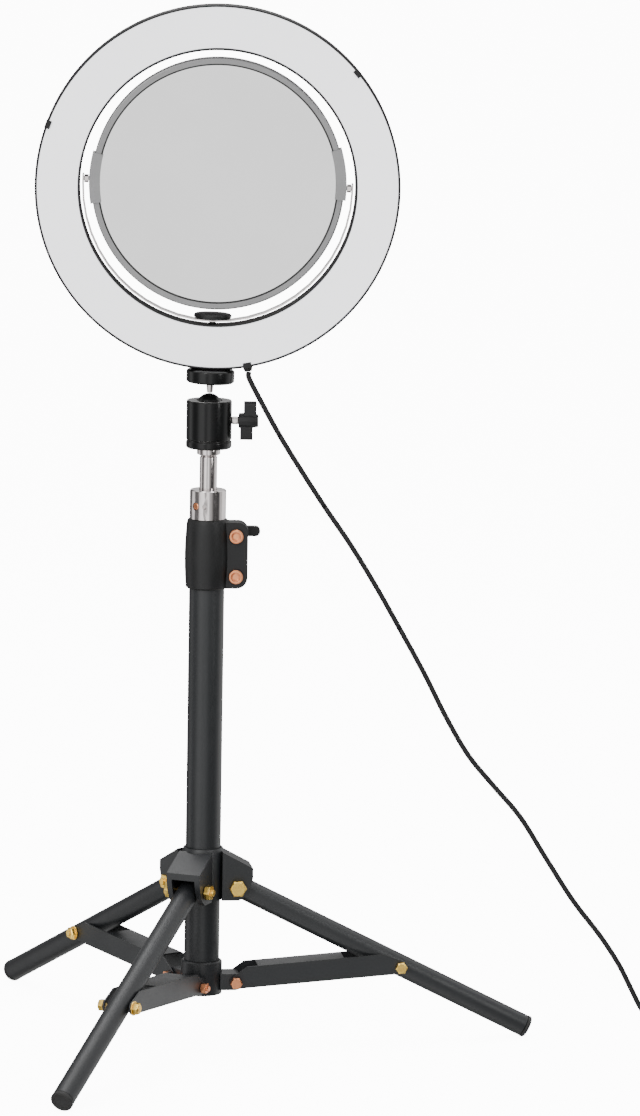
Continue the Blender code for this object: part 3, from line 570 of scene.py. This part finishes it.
joints = {joint["name"]: joint for joint in frame["record"]["behaviour"]["joints"]}
leg_pivot_z = joints["leg_1_fold"]["pos_m"][2]
for number, degrees in enumerate(LEG_AZIMUTHS, 1):
    hinge = on_column @ Matrix.Rotation(math.radians(degrees), 4, "Z")
    hinge = hinge @ Matrix.Translation((PIVOT_RADIUS * MM, 0, leg_pivot_z))
    hinge = hinge @ Matrix.Rotation(-LEG_ANGLE, 4, "Y")
    leg = f"leg_{number}"
    low = 3.3 - LEG_LENGTH
    bore = LEG_RADIUS - LEG_WALL
    rows = [(LEG_RADIUS, 3), (LEG_RADIUS, low), (bore, low), (bore, 3)]
    turned(leg + "_drawn_tube", rows, hinge, coat, "black_coat", leg, [leg + "_tube"], 64)
    rows = [
        (0.01, -LEG_LENGTH + 0.5),
        (5.6, -LEG_LENGTH + 0.5),
        (6.2, -LEG_LENGTH),
        (7.5, -LEG_LENGTH),
        (8.2, -LEG_LENGTH + 0.8),
        (8.2, -LEG_LENGTH + 2.9),
        (6.4, -LEG_LENGTH + 3),
        (6.4, -LEG_LENGTH + 14),
        (0.01, -LEG_LENGTH + 14),
    ]
    turned(leg + "_plug", rows, hinge, rubber, "rubber", leg, [leg + "_foot_plug"], 48, 0.3)

    # The brace's screw comes through the leg into a washer and a lock nut.
    brace = f"brace_{number}"
    pivot = hinge @ Matrix.Translation((0, 0, -LEG_TO_BRACE * MM))
    pivot = pivot @ Matrix.Rotation(-math.pi / 2, 4, "X")
    nut = NUT_SEAT + 0.8
    rows = [(2.2, NUT_SEAT), (5.2, NUT_SEAT), (5.2, nut), (2.2, nut)]
    turned(brace + "_washer", rows, pivot, yellow_zinc, "yellow_zinc", brace, (), 48, 0.15)
    rows = [(1.8, nut), (4.6, nut), (4.6, NUT_SEAT + 3.8), (3.5, NUT_SEAT + 4.8), (1.8, NUT_SEAT + 4.6)]
    turned(brace + "_lock_nut", rows, pivot, yellow_zinc, "yellow_zinc", brace, (), 6, 0.25)
    tip = NUT_SEAT + 5.2
    rows = [(0.01, 9.9), (1.75, 9.9), (1.75, tip), (0.01, tip)]
    turned(brace + "_screw_end", rows, pivot, yellow_zinc, "yellow_zinc", brace, (), 24, 0.3)


# ---- Ball head -------------------------------------------------------------------
# Turned and black-anodised aluminium. Two thin rings of silvery metal, one in the
# groove and one on the mouth's edge, are painted highlights: they stand in for the
# highlights that light makes along these edges. The housing is turned plain here,
# without its side hole for the lock screw.

HEAD_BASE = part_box("ball_head_base")[0][2] / MM
HOUSING_BOTTOM, HOUSING_TOP = (corner[2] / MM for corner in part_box("ball_head_housing"))
KNOB_Z = 455.0
BALL_RADIUS = 9.5

anodised, shader, at = finish(
    "black_anodised_aluminium", 0.28, colour=(0.004, 0.004, 0.004), Specular_IOR_Level=0.2, Coat_Weight=0.12
)
feed(shader, "Base Color", grain(at, 50).mix((0.003, 0.003, 0.003), (0.006, 0.006, 0.0065)))
feed(shader, "Roughness", 0.22 + 0.14 * grain(at, 45))
bump(shader, grain(at, 2200, 2.0), 0.00002, 0.5)

chrome, shader, at = finish("chrome_plate", 0.12, 1.0, (0.78, 0.76, 0.75))
feed(shader, "Base Color", grain(at, 55).mix((0.50, 0.465, 0.46), (0.64, 0.60, 0.59)))
feed(shader, "Roughness", 0.09 + 0.12 * grain(at, 130))
bump(shader, grain(at, 600, 2.0), 0.00001, 0.4)

# Silvery metal for the painted highlights along the groove and the mouth's edge.
highlight_metal, shader, at = finish("painted_highlight_aluminium", 0.2, 1.0, (0.8, 0.79, 0.78))
feed(shader, "Base Color", grain(at, 300).mix((0.74, 0.73, 0.72), (0.84, 0.83, 0.82)))
feed(shader, "Roughness", 0.16 + 0.14 * grain(at, 500))
bump(shader, grain(at, 1500, 2.0), 0.00001, 0.4)

rows = [
    (3.3, HEAD_BASE),
    (15.2, HEAD_BASE),
    (16.4, HEAD_BASE + 1.2),
    (16.4, HEAD_BASE + 5),
    (15.4, HEAD_BASE + 5.6),
    (15.4, HEAD_BASE + 6.1),
    (3.3, HEAD_BASE + 6.1),
]
turned("head_base_ring", rows, on_column, anodised, "black_anodised", "pan_base", ["ball_head_base"])
# Painted highlight: a thin silvery ring along the groove under the housing.
rows = [
    (12, HOUSING_BOTTOM - 0.25),
    (15.7, HOUSING_BOTTOM - 0.25),
    (16.0, HOUSING_BOTTOM - 0.05),
    (12, HOUSING_BOTTOM - 0.05),
]
turned("head_bright_groove", rows, on_column, highlight_metal, "chrome", "pan_base", (), 96, 0.05)
rows = [
    (7.5, HOUSING_BOTTOM),
    (15.9, HOUSING_BOTTOM),
    (16.3, HOUSING_BOTTOM + 0.4),
    (16.3, HOUSING_TOP - 0.6),
    (15.7, HOUSING_TOP),
    (9.2, HOUSING_TOP),
    (9.9, HOUSING_TOP - 4.5),
    (7.5, HOUSING_TOP - 12),
]
nodes = ["ball_head_housing"]
turned("head_housing", rows, on_column, anodised, "black_anodised", "pan_base", nodes, 96, 0.3)
# Painted highlight: a thin silvery ring on the housing's mouth.
rows = [
    (15.6, HOUSING_TOP - 0.02),
    (15.85, HOUSING_TOP - 0.02),
    (15.85, HOUSING_TOP + 0.05),
    (15.6, HOUSING_TOP + 0.05),
]
turned("head_bright_edge", rows, on_column, highlight_metal, "chrome", "pan_base", (), 96, 0.01)
knob_line = Matrix.Translation((COLUMN_X, COLUMN_Y, KNOB_Z * MM)) @ Matrix.Rotation(math.pi / 2, 4, "Y")
rows = [(2.62, 16.6), (2.8, 16.6), (2.8, 20.6), (2.62, 20.6)]
turned("lock_screw_shaft", rows, knob_line, chrome, "chrome", "lock_knob", (), 48, 0.05)
at_ball = Matrix.Translation((COLUMN_X, COLUMN_Y, BALL_Z))
dome = []
for degrees in range(0, 181, 10):
    lean = math.radians(degrees)
    dome.append((BALL_RADIUS * math.sin(lean) + 0.002, BALL_RADIUS * math.cos(lean)))
turned("ball_turned", dome, at_ball, anodised, "black_anodised", "ball", ["ball"], 48, 0.6)
in_head = at_ball @ Matrix.Rotation(HEAD_ROLL, 4, "Y")
rows = [(0.01, 9.9), (2.2, 9.9), (2.1, 10.5), (2.9, 18), (0.01, 18)]
turned("ball_neck", rows, in_head, chrome, "chrome", "head", ["ball_stem"], 48, 0.2)
rows = [(3.2, 17), (15.8, 17), (17.2, 18.2), (17.2, 25.6), (16.0, 26.7), (3.2, 26.7)]
turned("platform_disc", rows, in_head, anodised, "black_anodised", "head", ["mount_platform"], 96, 0.5)


# ---- Stud and socket ---------------------------------------------------------------
# A turned steel stud, chromed, drops into a chromed socket on the inner tube, where
# a copper-red screw holds it. The socket is finished with the other parts.

SOCKET_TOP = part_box("spigot_socket")[1][2] / MM
rows = [
    (0.01, SOCKET_TOP - 16.7),
    (6.3, SOCKET_TOP - 16.7),
    (6.3, HEAD_BASE - 6.4),
    (5.4, HEAD_BASE - 5.7),
    (8.4, HEAD_BASE - 4.3),
    (8.4, HEAD_BASE - 0.3),
    (3, HEAD_BASE - 0.3),
    (3, HEAD_BASE + 4.1),
    (0.01, HEAD_BASE + 4.1),
]
turned("chromed_stud", rows, on_column, chrome, "chrome", "pan_base", ["spigot_stud"], 96, 0.35)


# ---- Clamp screws --------------------------------------------------------------------
# Two steel cap screws with a socket in the head, passivated copper-red, pull the
# split collar shut on the inner tube.

copper_zinc, shader, at = finish("copper_zinc", 0.25, 1.0, (0.74, 0.4, 0.27))
feed(shader, "Base Color", grain(at, 260, 4.0).mix((0.86, 0.38, 0.18), (0.50, 0.17, 0.09)))
feed(shader, "Roughness", 0.2 + 0.2 * grain(at, 400))
bump(shader, grain(at, 900, 2.0), 0.00004, 0.5)

for node, back in (("clamp_upper_bolt", 13.2), ("clamp_lower_bolt", 10.7)):
    bolt_low, bolt_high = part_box(node)
    middle = (bolt_low + bolt_high) / 2
    place = Matrix.Translation((middle.x, COLUMN_Y, middle.z)) @ Matrix.Rotation(math.pi / 2, 4, "X")
    rows = [
        (0.01, -back),
        (2.4, -back),
        (2.4, 7.5),
        (5.2, 7.5),
        (5.2, 9.4),
        (4.6, 10.1),
        (3.4, 10.1),
        (3.0, 9.4),
        (2.5, 9.4),
        (2.3, 8.4),
        (0.01, 8.4),
    ]
    turned(node + "_screw", rows, place, copper_zinc, "copper_zinc", "root", [node], 48, 0.2)


# ---- Ring ----------------------------------------------------------------------------
# A moulded black housing holds the white board of LEDs behind a milky sheet, which
# three small clips hold in. Ten screws hold the back on. The shell is turned plain
# here, without the hole for the thumbscrew in its inner wall.

at_ring = in_head @ Matrix.Translation((0, 0, RING_RISE * MM)) @ Matrix.Rotation(math.pi / 2, 4, "X")
RING_INNER = 97.8
DEPTH = 10.0
WALL = 1.4
CLIP_ANGLES = (41.6, 161.6, 281.6)
CHIP_COUNT = 120
CHIP_CIRCLE = 114.0
CHIP_HEIGHT = -3.9
SCREW_COUNT = 10
SCREW_CIRCLE = 114.0

plastic, shader, at = finish(
    "black_moulded_plastic", 0.45, colour=(0.012, 0.012, 0.013), Specular_IOR_Level=0.32
)
feed(shader, "Base Color", grain(at, 40).mix((0.004, 0.004, 0.0045), (0.009, 0.009, 0.0095)))
feed(shader, "Roughness", 0.40 + 0.16 * grain(at, 80))
bump(shader, grain(at, 1800, 2.0), 0.00005, 0.5)

milky, shader, at = finish("milky_sheet", 0.5, colour=(0.76, 0.76, 0.76))
feed(shader, "Base Color", grain(at, 14, 4.0).mix((0.80, 0.80, 0.81), (0.85, 0.85, 0.855)))
shader.inputs["Emission Color"].default_value = (0.95, 0.955, 1, 1)
shader.inputs["Emission Strength"].default_value = 1.15
feed(shader, "Roughness", 0.46 + 0.1 * grain(at, 200))
bump(shader, grain(at, 1600, 2.0), 0.00003, 0.4)

board, shader, at = finish("white_solder_mask", 0.4, colour=(0.8, 0.8, 0.78))
feed(shader, "Base Color", grain(at, 90).mix((0.76, 0.76, 0.74), (0.83, 0.83, 0.81)))
feed(shader, "Roughness", 0.35 + 0.15 * grain(at, 150))

rows = [
    (RING_RADIUS - 0.6, DEPTH),
    (RING_RADIUS, DEPTH - 0.8),
    (RING_RADIUS, 4 - DEPTH),
    (RING_RADIUS - 4, -DEPTH),
    (RING_INNER + 4, -DEPTH),
    (RING_INNER, 4 - DEPTH),
    (RING_INNER, DEPTH),
    (RING_INNER + WALL, DEPTH),
    (RING_INNER + WALL, 4.6 - DEPTH),
    (RING_INNER + 4.6, WALL - DEPTH),
    (RING_RADIUS - 4.6, WALL - DEPTH),
    (RING_RADIUS - WALL, 4.6 - DEPTH),
    (RING_RADIUS - WALL, DEPTH),
]
turned("ring_shell", rows, at_ring, plastic, "black_plastic", "head", ["ring_housing"], 192, 0.25)
face = DEPTH - 0.3
rows = [
    (RING_RADIUS - WALL - 0.3, face),
    (RING_INNER + WALL + 0.3, face),
    (RING_INNER + WALL + 0.3, face - 2),
    (RING_RADIUS - WALL - 0.3, face - 2),
]
turned("milky_sheet", rows, at_ring, milky, "milky_plastic", "head", ["diffuser"], 192, 0.3)
# Each clip is a flat bar over the sheet's edge and a short one down the outer wall.
CLIP_BARS = (
    ((128.4, 0, 10.5), (4, 6, 1, 1)),
    ((129.9, 0, 9.25), (1, 6, 3.4, 1)),
)
clips = bmesh.new()
for degrees in CLIP_ANGLES:
    spoke = Matrix.Rotation(math.radians(degrees), 4, "Z")
    for middle, extent in CLIP_BARS:
        bar = spoke @ Matrix.Translation(middle) @ Matrix.Diagonal(extent)
        bmesh.ops.create_cube(clips, size=1, matrix=bar)
clips.transform(at_ring @ Matrix.Scale(MM, 4))
clips_mesh = bpy.data.meshes.new("ring_clips")
clips.to_mesh(clips_mesh)
clips.free()
piece = surface_of("ring_clips", clips_mesh, plastic, "head", "black_plastic")
soft = piece.modifiers.new("edges", "BEVEL")
soft.width = 0.3 * MM
soft.segments = 3


def around_ring(name, sample, count, radius, height, material, body, slot):
    """Places a copy of a small mesh at even steps round the ring, with Geometry Nodes."""
    group = bpy.data.node_groups.new(name, "GeometryNodeTree")
    inputs = (("Count", "NodeSocketInt"), ("Radius", "NodeSocketFloat"), ("Height", "NodeSocketFloat"))
    for label, kind in inputs:
        group.interface.new_socket(label, in_out="INPUT", socket_type=kind)
    group.interface.new_socket("Geometry", in_out="OUTPUT", socket_type="NodeSocketGeometry")
    made = {}
    for key, kind in (
        ("in", "NodeGroupInput"),
        ("out", "NodeGroupOutput"),
        ("circle", "GeometryNodeMeshCircle"),
        ("lift", "GeometryNodeTransform"),
        ("up", "ShaderNodeCombineXYZ"),
        ("object", "GeometryNodeObjectInfo"),
        ("copies", "GeometryNodeInstanceOnPoints"),
        ("real", "GeometryNodeRealizeInstances"),
        ("paint", "GeometryNodeSetMaterial"),
    ):
        made[key] = group.nodes.new(kind)
    wire = group.links.new
    wire(made["in"].outputs["Count"], made["circle"].inputs["Vertices"])
    wire(made["in"].outputs["Radius"], made["circle"].inputs["Radius"])
    wire(made["in"].outputs["Height"], made["up"].inputs["Z"])
    wire(made["circle"].outputs["Mesh"], made["lift"].inputs["Geometry"])
    wire(made["up"].outputs[0], made["lift"].inputs["Translation"])
    wire(made["lift"].outputs["Geometry"], made["copies"].inputs["Points"])
    made["object"].inputs["Object"].default_value = sample
    wire(made["object"].outputs["Geometry"], made["copies"].inputs["Instance"])
    wire(made["copies"].outputs["Instances"], made["real"].inputs["Geometry"])
    made["paint"].inputs["Material"].default_value = material
    wire(made["real"].outputs["Geometry"], made["paint"].inputs["Geometry"])
    wire(made["paint"].outputs["Geometry"], made["out"].inputs["Geometry"])
    holder = link(name + "_maker", bpy.data.meshes.new(name + "_maker"))
    maker = holder.modifiers.new("round", "NODES")
    maker.node_group = group
    values = {"Count": count, "Radius": radius * MM, "Height": height * MM}
    for item in group.interface.items_tree:
        if item.in_out == "INPUT":
            maker[item.identifier] = values[item.name]
    bpy.context.view_layer.update()
    whole = bpy.data.meshes.new_from_object(holder.evaluated_get(bpy.context.evaluated_depsgraph_get()))
    bpy.data.objects.remove(holder)
    bpy.data.objects.remove(sample)
    whole.transform(at_ring)
    return surface_of(name, whole, material, body, slot)


flat = Matrix.Identity(4)
chip = link("chip", lathe([(0.01, 0), (1.5, 0), (1.5, 0.7), (0.01, 0.7)], flat, 4, 0.1))
around_ring("led_chips", chip, CHIP_COUNT, CHIP_CIRCLE, CHIP_HEIGHT, board, "head", "circuit_board")
rows = [
    (0.01, 0.3),
    (0.7, 0.3),
    (0.7, 0),
    (2.2, 0),
    (2.4, 0.5),
    (1.6, 1.0),
    (0.9, 1.1),
    (0.9, 0.5),
    (0.01, 0.5),
]
screw = link("screw", lathe(rows, flat, 24, 0.12))
screw.data.transform(Matrix.Rotation(math.pi, 4, "X"))
around_ring("ring_back_screws", screw, SCREW_COUNT, SCREW_CIRCLE, -DEPTH, chrome, "head", "chrome")


# ---- Mirror --------------------------------------------------------------------------
# A two-sided mirror that turns inside the ring: two silvered glasses, one in each
# face of a grey plated plastic frame. A thin black ring at the edge of each glass is
# painted shadow: it stands in for the shade that the frame's rim casts on the glass.

MIRROR_LIFT = 2.5

grey, shader, at = finish("grey_plated_plastic", 0.3, 0.4, (0.42, 0.42, 0.42))
feed(shader, "Base Color", grain(at, 60).mix((0.20, 0.20, 0.203), (0.27, 0.27, 0.273)))
feed(shader, "Roughness", 0.26 + 0.14 * grain(at, 120))
bump(shader, grain(at, 1500, 2.0), 0.00002, 0.4)

glass, shader, at = finish("silvered_glass", 0.07, 1.0, (0.62, 0.62, 0.62))
feed(shader, "Base Color", grain(at, 18, 4.0).mix((0.60, 0.60, 0.60), (0.66, 0.66, 0.66)))
feed(shader, "Roughness", 0.05 + 0.05 * grain(at, 60))

mirror_centre = Matrix.Translation((0, 0, (RING_RISE + MIRROR_LIFT) * MM))
at_mirror = in_head @ mirror_centre @ Matrix.Rotation(math.pi / 2, 4, "X")
rows = [
    (89.1, 6),
    (89.9, 5.2),
    (89.9, -5.2),
    (89.1, -6),
    (84.9, -6),
    (84.9, -3),
    (78.9, -3),
    (78.9, 3),
    (84.9, 3),
    (84.9, 6),
]
turned("mirror_rim", rows, at_mirror, grey, "grey_frame", "mirror", ["mirror_frame"], 192, 0.5)
# Painted shadow: a thin black ring round each glass, where the frame's rim shades it.
for name, low, high in (("front", 5.4, 6.04), ("rear", -6.04, -5.4)):
    rows = [(84.7, low), (85.5, low), (85.5, high), (84.7, high)]
    turned(f"mirror_gasket_{name}", rows, at_mirror, rubber, "rubber", "mirror", (), 192, 0.05)
for name, low in (("front", 3.3), ("rear", -4.8)):
    rows = [(0.01, low), (84.6, low), (84.6, low + 1.5), (0.01, low + 1.5)]
    nodes = [f"mirror_{name}_glass"]
    turned(f"mirror_glass_{name}", rows, at_mirror, glass, "mirror_glass", "mirror", nodes, 192, 0.3)


# ---- The other parts -------------------------------------------------------------------
# Small moulded, pressed and turned parts. Their edges are eased, and each takes
# the finish that its slot names.

FINISHES = {
    "black_coat": coat,
    "black_anodised": anodised,
    "black_plastic": plastic,
    "chrome": chrome,
    "yellow_zinc": yellow_zinc,
    "copper_zinc": copper_zinc,
    "milky_plastic": milky,
    "mirror_glass": glass,
    "grey_frame": grey,
    "circuit_board": board,
    "rubber": rubber,
    "cord_sheath": sheath,
}
KNOB_EDGE = 0.9 * MM
PART_EDGE = 0.25 * MM
for part in frame["record"]["subparts"]:
    node = part["node"]
    if not frame["nodes"][node].hide_render:
        edge = KNOB_EDGE if node.endswith("_knob") else PART_EDGE
        eased(node, node + "_finished", FINISHES[part["material_slot"]], part["material_slot"], edge)
